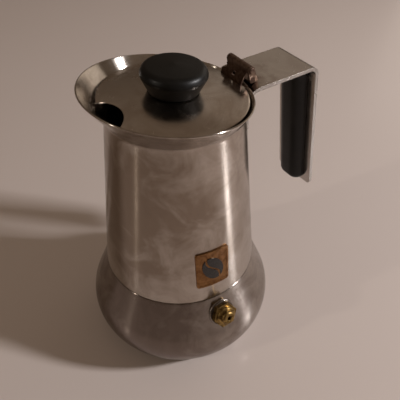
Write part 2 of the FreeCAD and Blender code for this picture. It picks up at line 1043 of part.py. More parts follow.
def clear_pot_wall(body):
    """Cuts away whatever of the strip would lie inside the pot's outer face."""
    clear = 2.0
    low = size("root_bottom") - clear
    high = size("throat_height") - clear
    corners = [(0, low), (pot_outer(low), low), (pot_outer(high), high), (0, high)]
    turn(body, outline(body, "XZ_Plane", "wall_section", corners), "wall_cut", "PartDesign::Groove")


def screw_heights():
    """How far up the grip its two screws are."""
    return (18.0, 58.0)


def grip_screw_frame(height):
    """Origin on the upright's inner face, +Z out through the strip."""
    local = Placement(Vector(0, 0, height), Rotation(Vector(0, 1, 0), 90))
    return grip_frame() * local


def make_handle_strip():
    body = new_body("handle_strip_solid")
    half = size("strip_half_width")
    pad(body, strip_outline(body), "strip_bent", 2 * half, both_ways=True)

    def in_side_face(edge):
        box = edge.BoundBox
        return box.YLength < 1e-6 and abs(abs(box.YMax) - half.value) < 1e-6

    def end_corner(edge):
        short = edge.BoundBox.ZMax < (size("strip_bottom") + 1e-3).value
        return in_side_face(edge) and short

    def long_edge(edge):
        beyond_root = 8.0
        return in_side_face(edge) and edge.BoundBox.XMax > size("throat_radius").value + beyond_root

    round_edges(body, "strip_end_rounded", size("strip_end_rounding"), end_corner)
    round_edges(body, "strip_rounded", size("strip_rounding"), long_edge)
    root_flange(body)
    clear_pot_wall(body)
    result = body
    for number, height in enumerate(screw_heights(), start=1):
        hole = cylinder(
            f"strip_hole_{number}",
            size("grip_screw_radius"),
            -1,
            size("strip_thickness") + 1,
            grip_screw_frame(height),
        )
        label = "handle_strip" if number == len(screw_heights()) else f"strip_with_hole_{number}"
        result = boolean("Part::Cut", label, result, hole)
    return result


def make_grip():
    body = new_body("grip_solid")
    depth = size("grip_depth")
    half = size("grip_half_width")
    length = size("grip_length")
    corners = [(-depth, -half), (0, -half), (0, half), (-depth, half)]
    section = outline(body, "XY_Plane", "grip_section", corners)
    pad(body, section, "grip_block", length)

    def front_edge(edge):
        box = edge.BoundBox
        return box.ZLength > length.value / 2 and abs(box.XMin + depth.value) < 1e-6

    def front_bottom(edge):
        box = edge.BoundBox
        return box.ZMax < 1e-6 and box.XMin < -1e-3

    def back_top(edge):
        box = edge.BoundBox
        return box.ZMin > length.value - 1e-6 and box.XLength < 1e-6 and abs(box.XMax) < 1e-6

    round_edges(body, "grip_front", size("grip_rounding"), front_edge)
    round_edges(body, "grip_bottom", size("grip_end_rounding"), front_bottom)
    round_edges(body, "grip_relief", size("strip_bend"), back_top, "PartDesign::Chamfer")
    foot = Vector(0, 0, size("grip_foot").value)
    body.Placement = grip_frame() * Placement(foot, Rotation())
    result = body
    for number, height in enumerate(screw_heights(), start=1):
        hole = cylinder(
            f"grip_hole_{number}",
            size("grip_screw_radius"),
            -size("grip_screw_depth"),
            1,
            grip_screw_frame(height),
        )
        label = "grip" if number == len(screw_heights()) else f"grip_with_hole_{number}"
        result = boolean("Part::Cut", label, result, hole)
    return result


def make_grip_screws():
    """Two pan head screws that hold the grip from outside the strip."""
    head = 3.0
    head_side = 0.8
    head_height = 1.5
    dome = 1.0
    slot_half = 0.4
    slot_floor = 0.9
    screws = []
    for number, height in enumerate(screw_heights(), start=1):
        body = new_body(f"grip_screw_{number}")
        seat = size("strip_thickness")
        radius = size("grip_screw_radius")
        tip = -size("grip_screw_depth")
        corners = [
            (0, tip),
            (radius, tip),
            (radius, seat),
            (head, seat),
            (head, seat + head_side),
            (head - dome, seat + head_height),
            (0, seat + head_height),
        ]
        section = outline(body, "XZ_Plane", f"grip_screw_section_{number}", corners)
        turn(body, section, f"grip_screw_turned_{number}")
        slot_name = f"grip_screw_slot_{number}"
        low = seat + slot_floor
        high = seat + 2 * head_height
        slot = [(-slot_half, low), (slot_half, low), (slot_half, high), (-slot_half, high)]
        pocket_through(body, outline(body, "XZ_Plane", slot_name, slot), slot_name + "_cut")
        body.Placement = grip_screw_frame(height)
        screws.append(body)
    group = doc.addObject("Part::Compound", "grip_screws")
    group.Links = screws
    group.Label = "grip_screws"
    return group


# ---------------------------------------------------------------- badge


def badge_frame():
    """Origin on the pot's axis at the badge's middle, +X out through the badge."""
    height = size("badge_middle").value
    return Placement(Vector(0, 0, height), Rotation(Vector(0, 0, 1), size("badge_azimuth").value))


def pot_skin(name, start, end):
    """A thin conical layer on the pot's wall, from start to end outside its outer face."""
    reach = size("badge_height").value
    low = size("badge_middle").value - reach
    high = size("badge_middle").value + reach
    cones = []
    for layer, offset in (("outer", end), ("inner", start)):
        cone = doc.addObject("Part::Cone", f"{name}_{layer}")
        bind(cone, "Radius1", pot_outer(low) + offset)
        bind(cone, "Radius2", pot_outer(high) + offset)
        bind(cone, "Height", high - low)
        place(cone, Vector(0, 0, low))
        cones.append(cone)
    return boolean("Part::Cut", name, *cones)


def badge_block(name, inset):
    """A block with rounded corners that cuts the badge out of a layer of the wall."""
    block = doc.addObject("Part::Box", name + "_block")
    width = size("badge_width") - 2 * inset
    height = size("badge_height") - 2 * inset
    bind(block, "Length", size("badge_block_reach"))
    bind(block, "Width", width)
    bind(block, "Height", height)
    corner = Vector(0, -width.value / 2, -height.value / 2)
    block.Placement = badge_frame() * Placement(corner, Rotation())
    doc.recompute()
    rounded = doc.addObject("Part::Fillet", name + "_rounded")
    rounded.Base = block
    corner_radius = size("badge_corner").value - inset
    rounded.Edges = [
        (number, corner_radius, corner_radius)
        for number, edge in enumerate(block.Shape.Edges, start=1)
        if abs(edge.Length - block.Length.Value) < 1e-6
    ]
    return rounded


def make_badge():
    """A thin curved plate with a raised border."""
    face = size("badge_thickness")
    plate_skin = pot_skin("plate_skin", 0.0, face)
    border_skin = pot_skin("border_skin", face, face + size("badge_border_rise"))
    whole = badge_block("badge_whole", 0.0)
    again = badge_block("badge_again", 0.0)
    window = badge_block("badge_window", size("badge_border").value)
    plate = boolean("Part::Common", "badge_sheet", plate_skin, whole)
    raised = boolean("Part::Common", "badge_raised", border_skin, again)
    border = boolean("Part::Cut", "badge_border", raised, window)
    return boolean("Part::Fuse", "badge_plate", plate, border)


def bean_crease():
    """The flat outline of the crease: a wave with an even width."""
    half_width = 0.55
    half_length = 8.4
    swing = 1.5
    steps = 8
    sides = []
    for side in (-half_width, half_width):
        line = []
        for step in range(-steps, steps + 1):
            share = step / steps
            line.append(
                Vector(half_length * share, swing * math.sin(math.pi * share) + side, 0)
            )
        curve = Part.BSplineCurve()
        curve.interpolate(line)
        sides.append((line, curve.toShape()))
    (low, low_edge), (high, high_edge) = sides
    ends = [Part.LineSegment(low[number], high[number]).toShape() for number in (0, -1)]
    return Part.Face(Part.Wire(Part.__sortEdges__([low_edge, high_edge, *ends])))


def make_badge_bean():
    """A raised coffee bean on the badge: an oval with a curved crease."""
    half_length = 7.6
    half_width = 5.4
    slant = 25
    oval = Part.Ellipse(Vector(0, 0, 0), half_length, half_width)
    face = Part.Face(Part.Wire(oval.toShape()))
    outward = Vector(0, 0, size("badge_block_reach").value)
    lobes = face.cut(bean_crease()).extrude(outward)
    upright = Placement(Vector(0, 0, 0), Rotation(Vector(0, 1, 0), 90))
    slanted = Placement(Vector(0, 0, 0), Rotation(Vector(0, 0, 1), slant))
    lobes.Placement = badge_frame() * upright * slanted
    plate_face = size("badge_thickness")
    skin = pot_skin("bean_skin", plate_face, plate_face + size("bean_rise"))
    doc.recompute()
    piece = doc.addObject("Part::Feature", "badge_bean")
    piece.Shape = skin.Shape.common(lobes)
    piece.Label = "badge_bean"
    return piece


# ---------------------------------------------------------------- safety valve


def hexagon(body, name, radius):
    """A regular hexagon on the XY plane."""
    corners = []
    for corner in range(6):
        angle = math.radians(60 * corner)
        corners.append((radius * math.cos(angle), radius * math.sin(angle)))
    return outline(body, "XY_Plane", name, corners)


def make_valve_body():
    """A turned body with a milled hexagon, a collar and a domed outlet."""
    body = new_body("valve_body")
    shank = size("valve_shank")
    bore = size("valve_bore")
    bore_end = size("valve_bore_end")
    inner_end = size("valve_inner_end")
    hex_low = size("valve_washer_top")
    hex_high = 4.0
    hex_core = 5.8
    collar = 5.1
    collar_bevel = 0.5
    nozzle = 3.7
    tip = 8.0
    dome = 1.4
    outlet = 1.15
    corners = [
        (bore, inner_end),
        (shank, inner_end),
        (shank, hex_low),
        (hex_core, hex_low),
        (hex_core, hex_high),
        (collar, hex_high),
        (collar, bore_end - collar_bevel),
        (collar - collar_bevel, bore_end),
        (nozzle, bore_end),
        (nozzle, tip - dome),
        (nozzle - dome, tip),
        (outlet, tip),
        (outlet, bore_end),
        (bore, bore_end),
    ]
    arcs = {9: (nozzle - dome, tip - dome)}
    turn(body, outline(body, "XZ_Plane", "valve_section", corners, arcs), "valve_turned")
    sketch = hexagon(body, "valve_hexagon", size("valve_hexagon"))
    sketch.AttachmentOffset = Placement(Vector(0, 0, hex_low.value), Rotation())
    pad(body, sketch, "valve_hexagon_milled", hex_high - hex_low)
    bored = circle(body, "XY_Plane", "valve_bore", 0, 0, bore)
    cut = body.newObject("PartDesign::Pocket", "valve_bore_cut")
    cut.Profile = bored
    cut.Reversed = True
    bind(cut, "Length", bore_end)
    body.Placement = valve_frame()
    return body


def make_turned(label, corners, frame):
    body = new_body(label)
    section = outline(body, "XZ_Plane", label + "_section", corners)
    turn(body, section, label + "_turned")
    body.Placement = frame
    return body


def make_valve_washer():
    shank = size("valve_shank")
    outer = size("valve_washer_radius")
    low = size("valve_boss_rise")
    high = size("valve_washer_top")
    corners = [(shank, low), (outer, low), (outer, high), (shank, high)]
    return make_turned("valve_washer", corners, valve_frame())


def make_valve_nut():
    """The nut that pulls the valve against the wall from inside the boiler."""
    body = new_body("valve_nut")
    thickness = 2.55
    smaller = 0.4
    face = size("valve_boss_depth")
    sketch = hexagon(body, "nut_hexagon", size("valve_hexagon") - smaller)
    sketch.AttachmentOffset = Placement(Vector(0, 0, -(face.value + thickness)), Rotation())
    pad(body, sketch, "nut_milled", thickness)
    hole = circle(body, "XY_Plane", "nut_hole", 0, 0, size("valve_shank"))
    pocket_through(body, hole, "nut_bored")
    body.Placement = valve_frame()
    return body


def make_valve_seat():
    """The ring pressed into the valve's inner end, that the plunger closes."""
    bore = size("valve_bore")
    low = size("valve_inner_end")
    high = low + 1.3
    inlet = 1.0
    bevel = 0.5
    corners = [(inlet, low), (bore, low), (bore, high), (inlet + bevel, high)]
    return make_turned("valve_seat", corners, valve_frame())


def make_valve_plunger():
    """A tapered plug with a guide stem that stands inside the spring."""
    tip = size("valve_inner_end") + 1.4
    tip_radius = 1.4
    plug_low = tip + 0.8
    plug_high = tip + 2.2
    plug = size("valve_bore") - 0.1
    stem = 0.8
    stem_end = 0.4
    corners = [
        (0, tip),
        (tip_radius, tip),
        (plug, plug_low),
        (plug, plug_high),
        (stem, plug_high),
        (stem, stem_end),
        (0, stem_end),
    ]
    return make_turned("valve_plunger", corners, valve_frame())


def make_valve_spring():
    """A coil spring between the plunger's shoulder and the valve's outlet end."""
    wire = size("valve_spring_wire").value
    coil = size("valve_spring_coil").value
    clearance = 0.05
    plug_high = size("valve_inner_end").value + 3.6
    low = plug_high + wire + clearance
    high = size("valve_bore_end").value - wire - clearance
    turns = 6
    helix = Part.makeHelix((high - low) / turns, high - low, coil)
    section = Part.Wire(Part.Circle(Vector(coil, 0, 0), Vector(0, 1, 0), wire).toShape())
    spring = Part.Wire(helix.Edges).makePipeShell([section], True, True)
    piece = doc.addObject("Part::Feature", "valve_spring")
    piece.Shape = spring
    piece.Label = "valve_spring"
    piece.Placement = valve_frame() * Placement(Vector(0, 0, low), Rotation())
    return piece


# ---------------------------------------------------------------- whole object


def make_all():
    seat = size("basket_floor") + 0.6
    sieve_radius = size("basket_radius") - size("funnel_wall")
    filter_thickness = size("sieve_thickness")
    filter_low = pot_floor_low() - size("filter_gap") - filter_thickness
    return [
        make_boiler(),
        make_funnel(),
        make_sieve("funnel_sieve", sieve_radius, seat, size("sieve_thickness")),
        make_gasket(),
        make_sieve("filter_plate", size("filter_radius"), filter_low, filter_thickness),
        make_pot(),
        make_thread_ring(),
        make_pot_floor(),
        make_column(),
        make_column_cap(),
        make_lid(),
        make_knob(),
        make_knob_washer(),
        make_knob_screw(),
        make_hinge_leaf(),
        make_hinge_bracket(),
        make_hinge_pin(),
        make_handle_strip(),
        make_grip(),
        make_grip_screws(),
        make_badge(),
        make_badge_bean(),
        make_valve_body(),
        make_valve_washer(),
        make_valve_nut(),
        make_valve_seat(),
        make_valve_plunger(),
        make_valve_spring(),
    ]


def check_and_export(pieces):
    faults = [
        f"{item.Label}: {item.State}"
        for item in doc.Objects
        if "Invalid" in item.State or "Error" in item.State
    ]
    for piece in pieces:
        shape = piece.Shape
        if shape.isNull() or not shape.isValid() or not shape.Solids:
            faults.append(f"{piece.Label}: its shape is not a valid solid")
    if faults:
        raise RuntimeError("; ".join(faults))
    os.makedirs("parts", exist_ok=True)
    for piece in pieces:
        shape = piece.Shape
        shape.exportStep(os.path.join("parts", piece.Label + ".step"))
        print(f"{piece.Label:16s} solids {len(shape.Solids)} volume {shape.Volume:10.1f}")


fill_sheet()
sub_parts = make_all()
doc.recompute()
check_and_export(sub_parts)
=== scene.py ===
"""The looks of a stainless stovetop espresso maker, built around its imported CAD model.

Shapes are worked out in millimetres and go to metres as each mesh is made.
"""

import json
import math

import bmesh
import bpy
from mathutils import Matrix, Vector

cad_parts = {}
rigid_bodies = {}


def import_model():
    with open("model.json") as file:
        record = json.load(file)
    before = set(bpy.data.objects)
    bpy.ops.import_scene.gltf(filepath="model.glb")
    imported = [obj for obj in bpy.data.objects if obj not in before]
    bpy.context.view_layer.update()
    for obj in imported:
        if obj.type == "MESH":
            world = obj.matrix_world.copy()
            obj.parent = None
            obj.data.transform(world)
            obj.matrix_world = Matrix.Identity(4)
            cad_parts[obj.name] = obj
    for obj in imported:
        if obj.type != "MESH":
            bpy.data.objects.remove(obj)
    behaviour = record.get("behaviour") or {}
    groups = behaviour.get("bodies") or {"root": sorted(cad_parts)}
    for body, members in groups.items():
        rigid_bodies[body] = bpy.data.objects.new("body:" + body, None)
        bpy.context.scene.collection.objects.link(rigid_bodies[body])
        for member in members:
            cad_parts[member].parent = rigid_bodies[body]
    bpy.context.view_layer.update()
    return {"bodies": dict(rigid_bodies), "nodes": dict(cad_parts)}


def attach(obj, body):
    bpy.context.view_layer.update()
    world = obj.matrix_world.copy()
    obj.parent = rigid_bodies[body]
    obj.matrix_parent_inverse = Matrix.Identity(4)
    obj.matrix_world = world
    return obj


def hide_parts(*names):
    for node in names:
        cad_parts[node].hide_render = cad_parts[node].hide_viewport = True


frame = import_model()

MM = 0.001
AROUND = 256

# ---------------------------------------------------------------- sizes of the CAD model, in mm

WALL = 1.02
POT_BOTTOM = 55.3
POT_RADIUS = 41.85
THROAT_HEIGHT = 148.9
THROAT_RADIUS = 32.9
FLARE_SLOPE = 14.9 / 21.1
RIM_HEIGHT = 158.5
RIM_FALL = math.tan(math.radians(8.1))
BULGE_CENTRE = Vector((27.4, 24.8))
BULGE_BEND = 24.8
SHOULDER_ANGLE = math.radians(22.7)
FOOT_ANGLE = math.radians(30.0)
LID_RADIUS = 34.8
LID_RISE = 3.0
LID_THICKNESS = 0.8
LID_FRAME = Matrix.Translation((-0.6, 0, 155.4)) @ Matrix.Rotation(math.radians(3.5), 4, "Y")
STRIP_TOP = 152.9
STRIP_THICKNESS = 2.0
STRIP_HALF_WIDTH = 13.6
STRIP_LEAN = math.radians(7.7)
STRIP_CORNER = 76.7
STRIP_BEND = 5.5
STRIP_BOTTOM = 70.3
ROOT_BEND = 9.0
ROOT_BOTTOM = 131.5
NECK_RADIUS = 38.0
VALVE_AXIS = Vector((-0.05633, -0.92085, 0.38591))
VALVE_FOOT = Vector((-2.80, -45.75, 45.0))


# ---------------------------------------------------------------- meshes


def clear_start_up_objects():
    kept = set(frame["bodies"].values()) | set(frame["nodes"].values())
    for thing in list(bpy.data.objects):
        if thing not in kept:
            bpy.data.objects.remove(thing)


def finish_mesh(name, mesh, body, material, sharp_angle=35.0):
    """Cleans a mesh given in metres and makes it a piece that rides on a body."""
    bmesh.ops.remove_doubles(mesh, verts=mesh.verts, dist=1e-7)
    bmesh.ops.dissolve_degenerate(mesh, edges=mesh.edges, dist=1e-8)
    bmesh.ops.recalc_face_normals(mesh, faces=mesh.faces)
    data = bpy.data.meshes.new(name)
    mesh.to_mesh(data)
    mesh.free()
    data.shade_smooth()
    data.set_sharp_from_angle(angle=math.radians(sharp_angle))
    data.materials.append(material)
    piece = bpy.data.objects.new(name, data)
    bpy.context.scene.collection.objects.link(piece)
    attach(piece, body)
    return piece


def skin(loops, closed=True, capped=False):
    """A mesh of quads between successive loops of points, in mm. Each loop is a closed ring."""
    mesh = bmesh.new()
    rows = [[mesh.verts.new(point * MM) for point in loop] for loop in loops]
    pairs = list(zip(rows, rows[1:]))
    if closed:
        pairs.append((rows[-1], rows[0]))
    for here, after in pairs:
        for number in range(len(here)):
            beside = (number + 1) % len(here)
            mesh.faces.new((here[number], here[beside], after[beside], after[number]))
    if capped:
        mesh.faces.new(rows[0])
        mesh.faces.new(rows[-1])
    return mesh


def fillet(points, radii, steps=6):
    """An outline with corners rounded. radii maps a corner's number to its radius."""
    result = []
    for number, corner in enumerate(points):
        if number not in radii:
            result.append(corner.copy())
            continue
        back = (points[number - 1] - corner).normalized()
        ahead = (points[(number + 1) % len(points)] - corner).normalized()
        half = back.angle(ahead) / 2
        centre = corner + (back + ahead).normalized() * radii[number] / math.sin(half)
        reach = radii[number] / math.tan(half)
        start = corner + back * reach - centre
        end = corner + ahead * reach - centre
        turn = math.pi - 2 * half
        for step in range(steps + 1):
            share = step / steps
            point = start * math.sin((1 - share) * turn) + end * math.sin(share * turn)
            result.append(centre + point / math.sin(turn))
    return result


def divide(points, longest):
    """A closed outline with its long runs split into equal parts."""
    result = []
    for number, start in enumerate(points):
        end = points[(number + 1) % len(points)]
        parts = max(1, math.ceil((end - start).length / longest))
        result += [start.lerp(end, part / parts) for part in range(parts)]
    return result


def around(outline_at, count=AROUND):
    """Loops of 3-D points from an outline of (radius, height) given for each azimuth."""
    loops = []
    for step in range(count):
        azimuth = 2 * math.pi * step / count
        way = Vector((math.cos(azimuth), math.sin(azimuth), 0))
        loops.append([way * p.x + Vector((0, 0, p.y)) for p in outline_at(azimuth)])
    return loops


def from_cad(node, name, body, material, bevel):
    """A copy of a CAD node with its seams closed and its edges softened, shown in its place."""
    mesh = bmesh.new()
    mesh.from_mesh(frame["nodes"][node].data)
    bmesh.ops.remove_doubles(mesh, verts=mesh.verts, dist=2e-6)
    flat = math.radians(0.6)
    bmesh.ops.dissolve_limit(mesh, angle_limit=flat, verts=mesh.verts, edges=mesh.edges)
    piece = finish_mesh(name, mesh, body, material)
    soften(piece, bevel)
    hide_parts(node)
    return piece


def soften(piece, width):
    """Rounds the piece's sharp edges by a width in mm."""
    modifier = piece.modifiers.new("softened", "BEVEL")
    modifier.width = width * MM
    modifier.segments = 3
    modifier.limit_method = "ANGLE"
    modifier.angle_limit = math.radians(35)
    modifier.harden_normals = True
    modifier.use_clamp_overlap = True


# ---------------------------------------------------------------- materials


class Shader:
    """A material being wired, with short calls for the nodes that it uses."""

    def __init__(self, name, metallic, roughness, colour):
        self.material = bpy.data.materials.new(name)
        self.material.use_nodes = True
        self.tree = self.material.node_tree
        self.surface = self.tree.nodes["Principled BSDF"]
        self.surface.inputs["Metallic"].default_value = metallic
        self.surface.inputs["Roughness"].default_value = roughness
        self.surface.inputs["Base Color"].default_value = (*colour, 1)

    def node(self, kind, inputs=None, **settings):
        made = self.tree.nodes.new(kind)
        for key, value in settings.items():
            setattr(made, key, value)
        for key, value in (inputs or {}).items():
            self.feed(made.inputs[key], value)
        return made

    def feed(self, socket, value):
        if isinstance(value, bpy.types.NodeSocket):
            self.tree.links.new(value, socket)
        else:
            socket.default_value = value

    def place(self, scale=(1, 1, 1), turn=(0, 0, 0)):
        """Object coordinates in mm, stretched."""
        where = self.node("ShaderNodeTexCoord").outputs["Object"]
        inputs = {"Vector": where, "Scale": [s / MM for s in scale], "Rotation": turn}
        return self.node("ShaderNodeMapping", inputs).outputs["Vector"]

    def noise(self, where, scale, detail=4.0, rough=0.6, distortion=0.0):
        inputs = {
            "Vector": where,
            "Scale": scale,
            "Detail": detail,
            "Roughness": rough,
            "Distortion": distortion,
        }
        return self.node("ShaderNodeTexNoise", inputs).outputs["Fac"]

    def spread(self, value, low, high, out_low, out_high):
        """Maps low..high to out_low..out_high and holds it there."""
        inputs = {
            "Value": value,
            "From Min": low,
            "From Max": high,
            "To Min": out_low,
            "To Max": out_high,
        }
        return self.node("ShaderNodeMapRange", inputs).outputs["Result"]

    def sum(self, first, second, kind="ADD"):
        made = self.node("ShaderNodeMath", operation=kind)
        self.feed(made.inputs[0], first)
        self.feed(made.inputs[1], second)
        return made.outputs[0]

    def blend(self, share, first, second):
        made = self.node("ShaderNodeMix", data_type="RGBA")
        self.feed(made.inputs["Factor"], share)
        self.feed(made.inputs["A"], first if not isinstance(first, tuple) else (*first, 1))
        self.feed(made.inputs["B"], second if not isinstance(second, tuple) else (*second, 1))
        return made.outputs["Result"]

    def bump(self, height, depth, under=None):
        """Relief of a given depth in mm."""
        inputs = {"Height": height, "Distance": depth * MM, "Strength": 1.0}
        if under is not None:
            inputs["Normal"] = under
        return self.node("ShaderNodeBump", inputs).outputs["Normal"]

    def near(self, centre, reach, ragged=0.0):
        """1 at a point, given in mm, falling to 0 at reach, with a ragged border."""
        made = self.node("ShaderNodeVectorMath", operation="DISTANCE")
        self.feed(made.inputs[0], self.place())
        self.feed(made.inputs[1], centre)
        far = made.outputs["Value"]
        if ragged:
            wander = self.spread(self.noise(self.place(), 0.06, 5), 0.3, 0.7, -ragged, ragged)
            far = self.sum(far, wander)
        return self.spread(far, 0, reach, 1, 0)

    def wire(self, colour=None, roughness=None, normal=None):
        if colour is not None:
            self.feed(self.surface.inputs["Base Color"], colour)
        if roughness is not None:
            self.feed(self.surface.inputs["Roughness"], roughness)
        if normal is not None:
            self.feed(self.surface.inputs["Normal"], normal)
        return self.material


def steel(
    name,
    colour,
    stain,
    roughness,
    grain,
    smear=0.1,
    spun=0.0,
    cloudy=0.75,
    patch=None,
    cut_edge_shade_from=None,
):
    """Worn stainless steel: grain is the stretch of its polishing marks along X, Y and Z.

    spun is how far turned marks round the Z axis draw its highlights out. cloudy is how far the
    stain comes through in clouds. patch is the middle and reach, in mm, of a browner, darker
    area:
    a real stain on the strip, painted shade on the boiler, and both on the pot.
    cut_edge_shade_from is how far out along Y the cut edges begin; they are made rougher, for
    their real dullness, and darker, as painted shade.
    """
    shade = Shader(name, 1.0, roughness, colour)
    if spun:
        shade.surface.inputs["Anisotropic"].default_value = spun
        shade.surface.inputs["Anisotropic Rotation"].default_value = 0.25
        marks = shade.node("ShaderNodeTangent", direction_type="RADIAL", axis="Z")
        shade.feed(shade.surface.inputs["Tangent"], marks.outputs["Tangent"])
    place = shade.place()
    cloud = shade.noise(place, 0.05, 6, 0.64, 0.9)
    film = shade.noise(shade.place((1, 1, 0.6)), 0.13, 6, 0.65, 1.2)
    polish = shade.noise(shade.place(grain), 1.0, 3, 0.7)
    specks = shade.noise(place, 1.9, 2, 0.5)
    scratch = shade.node(
        "ShaderNodeTexVoronoi",
        {"Vector": shade.place((0.5, 0.5, 0.06), (0.5, 0.3, 0.7)), "Scale": 1.0},
        feature="DISTANCE_TO_EDGE",
    ).outputs["Distance"]
    lines = shade.spread(scratch, 0.0, 0.009, 1.0, 0.0)
    share = shade.spread(cloud, 0.36, 0.66, 0.0, cloudy)
    # The patch browns and darkens an area: heat stain on the strip, painted shade on the boiler,
    # partly painted shade on the pot.
    if patch is not None:
        centre, reach = patch
        share = shade.sum(share, shade.near(centre, reach, 14.0))
    stained_and_shaded = shade.blend(shade.spread(share, 0.0, 1.0, 0.0, 1.0), colour, stain)
    tint = shade.blend(shade.spread(specks, 0.66, 0.76, 0.0, 0.25), stained_and_shaded, stain)
    rough = shade.sum(roughness, shade.spread(film, 0.35, 0.7, -smear * 0.6, smear))
    rough = shade.sum(rough, shade.spread(polish, 0.3, 0.7, -0.025, 0.025))
    rough = shade.sum(rough, shade.sum(lines, 0.03, "MULTIPLY"))
    if cut_edge_shade_from is not None:
        across = shade.node("ShaderNodeSeparateXYZ", {"Vector": place}).outputs["Y"]
        out = shade.sum(across, 0.0, "ABSOLUTE")
        cut = shade.spread(out, cut_edge_shade_from, cut_edge_shade_from + 0.3, 0.0, 1.0)
        # Painted shade: the cut edges take 0.4 of the colour, while their added roughness is
        # their real dullness.
        tint = shade.blend(cut, tint, tuple(0.4 * part for part in colour))
        rough = shade.sum(rough, shade.sum(cut, 0.15, "MULTIPLY"))
    relief = shade.bump(lines, -0.0006, shade.bump(polish, 0.002))
    return shade.wire(tint, rough, relief)


def phenolic():
    """Black moulded phenolic, dulled and lightly scuffed by use."""
    black = (0.0028, 0.0027, 0.0024)
    worn = (0.011, 0.010, 0.008)
    shade = Shader("phenolic_worn", 0.0, 0.34, black)
    shade.surface.inputs["Specular IOR Level"].default_value = 0.27
    place = shade.place()
    cloud = shade.noise(place, 0.09, 5, 0.6, 0.6)
    fine = shade.noise(place, 2.6, 4, 0.7)
    scuff = shade.noise(shade.place((0.25, 1.6, 0.25), (0.4, 0.2, 0.9)), 1.0, 4, 0.75)
    marks = shade.spread(scuff, 0.6, 0.72, 0.0, 0.4)
    colour = shade.blend(shade.spread(cloud, 0.4, 0.75, 0.0, 0.55), black, worn)
    colour = shade.blend(marks, colour, worn)
    rough = shade.sum(0.3, shade.spread(cloud, 0.3, 0.7, 0.0, 0.16))
    rough = shade.sum(rough, shade.spread(fine, 0.3, 0.7, -0.04, 0.05))
    relief = shade.bump(fine, 0.02, shade.bump(scuff, 0.012))
    return shade.wire(colour, rough, relief)


def rusty_steel():
    """Hinge sheet, heat-stained copper brown with rust in patches."""
    shade = Shader("hinge_rusty_steel", 1.0, 0.42, (0.16, 0.09, 0.055))
    place = shade.place()
    patch = shade.noise(place, 0.42, 6, 0.7, 0.5)
    crust = shade.noise(place, 2.2, 5, 0.75)
    colour = shade.blend(
        shade.spread(patch, 0.38, 0.62, 0.0, 1.0), (0.15, 0.095, 0.062), (0.06, 0.028, 0.017)
    )
    colour = shade.blend(shade.spread(crust, 0.55, 0.68, 0.0, 0.8), colour, (0.04, 0.018, 0.011))
    rough = shade.spread(patch, 0.3, 0.7, 0.34, 0.7)
    metal = shade.spread(crust, 0.45, 0.65, 0.7, 0.1)
    shade.feed(shade.surface.inputs["Metallic"], metal)
    return shade.wire(colour, rough, shade.bump(crust, 0.012))


def brass():
    """Tarnished brass with dirt in its hollows."""
    shade = Shader("valve_brass", 1.0, 0.3, (0.55, 0.37, 0.13))
    place = shade.place()
    tarnish = shade.noise(place, 0.55, 6, 0.7, 0.6)
    fine = shade.noise(place, 3.2, 4, 0.7)
    colour = shade.blend(
        shade.spread(tarnish, 0.36, 0.6, 0.0, 1.0), (0.46, 0.31, 0.11), (0.09, 0.05, 0.018)
    )
    colour = shade.blend(shade.spread(fine, 0.6, 0.72, 0.0, 0.6), colour, (0.05, 0.03, 0.014))
    rough = shade.spread(tarnish, 0.3, 0.7, 0.2, 0.55)
    return shade.wire(colour, rough, shade.bump(fine, 0.02))


def badge_bronze():
    """Embossed bronze-coloured sheet, rubbed brighter in places."""
    shade = Shader("badge_bronze", 1.0, 0.36, (0.34, 0.17, 0.07))
    place = shade.place()
    rub = shade.noise(place, 0.28, 5, 0.65, 0.6)
    fine = shade.noise(shade.place((3, 3, 0.6)), 1.0, 4, 0.7)
    colour = shade.blend(
        shade.spread(rub, 0.36, 0.66, 0.0, 1.0), (0.31, 0.165, 0.068), (0.16, 0.074, 0.03)
    )
    rough = shade.spread(rub, 0.3, 0.7, 0.26, 0.46)
    return shade.wire(colour, rough, shade.bump(fine, 0.012))


def enamel():
    shade = Shader("badge_enamel", 0.0, 0.25, (0.012, 0.01, 0.009))
    chip = shade.noise(shade.place(), 1.1, 5, 0.7)
    colour = shade.blend(
        shade.spread(chip, 0.62, 0.7, 0.0, 0.8), (0.012, 0.01, 0.009), (0.09, 0.05, 0.025)
    )
    rough = shade.spread(chip, 0.3, 0.7, 0.18, 0.42)
    return shade.wire(colour, rough, shade.bump(chip, 0.01))


def silicone():
    shade = Shader("gasket_silicone", 0.0, 0.45, (0.72, 0.68, 0.6))
    shade.surface.inputs["Subsurface Weight"].default_value = 0.2
    shade.surface.inputs["Subsurface Radius"].default_value = (0.002, 0.0015, 0.001)
    stain = shade.noise(shade.place(), 0.2, 5, 0.6, 0.5)
    fine = shade.noise(shade.place(), 2.4, 4, 0.7)
    colour = shade.blend(
        shade.spread(stain, 0.4, 0.7, 0.0, 0.8), (0.72, 0.68, 0.6), (0.42, 0.29, 0.17)
    )
    return shade.wire(colour, shade.spread(fine, 0.3, 0.7, 0.36, 0.56), shade.bump(fine, 0.02))


def fibre():
    shade = Shader("washer_fibre", 0.0, 0.6, (0.03, 0.022, 0.016))
    fine = shade.noise(shade.place(), 1.8, 6, 0.75)
    colour = shade.blend(
        shade.spread(fine, 0.35, 0.7, 0.0, 1.0), (0.02, 0.014, 0.01), (0.09, 0.055, 0.03)
    )
    return shade.wire(colour, shade.spread(fine, 0.3, 0.7, 0.45, 0.75), shade.bump(fine, 0.05))


def table_top():
    """Pale warm lacquer with a soft gloss."""
    pale = (0.66, 0.575, 0.53)
    shade = Shader("table_lacquer", 0.0, 0.3, pale)
    shade.surface.inputs["Specular IOR Level"].default_value = 0.2
    cloud = shade.noise(shade.place(), 0.006, 2, 0.4)
    fine = shade.noise(shade.place(), 0.7, 3, 0.6)
    colour = shade.blend(shade.spread(cloud, 0.0, 1.0, 0.0, 0.5), pale, (0.63, 0.545, 0.495))
    rough = shade.spread(cloud, 0.0, 1.0, 0.18, 0.24)
    return shade.wire(colour, rough, shade.bump(fine, 0.002))


# ---------------------------------------------------------------- pieces


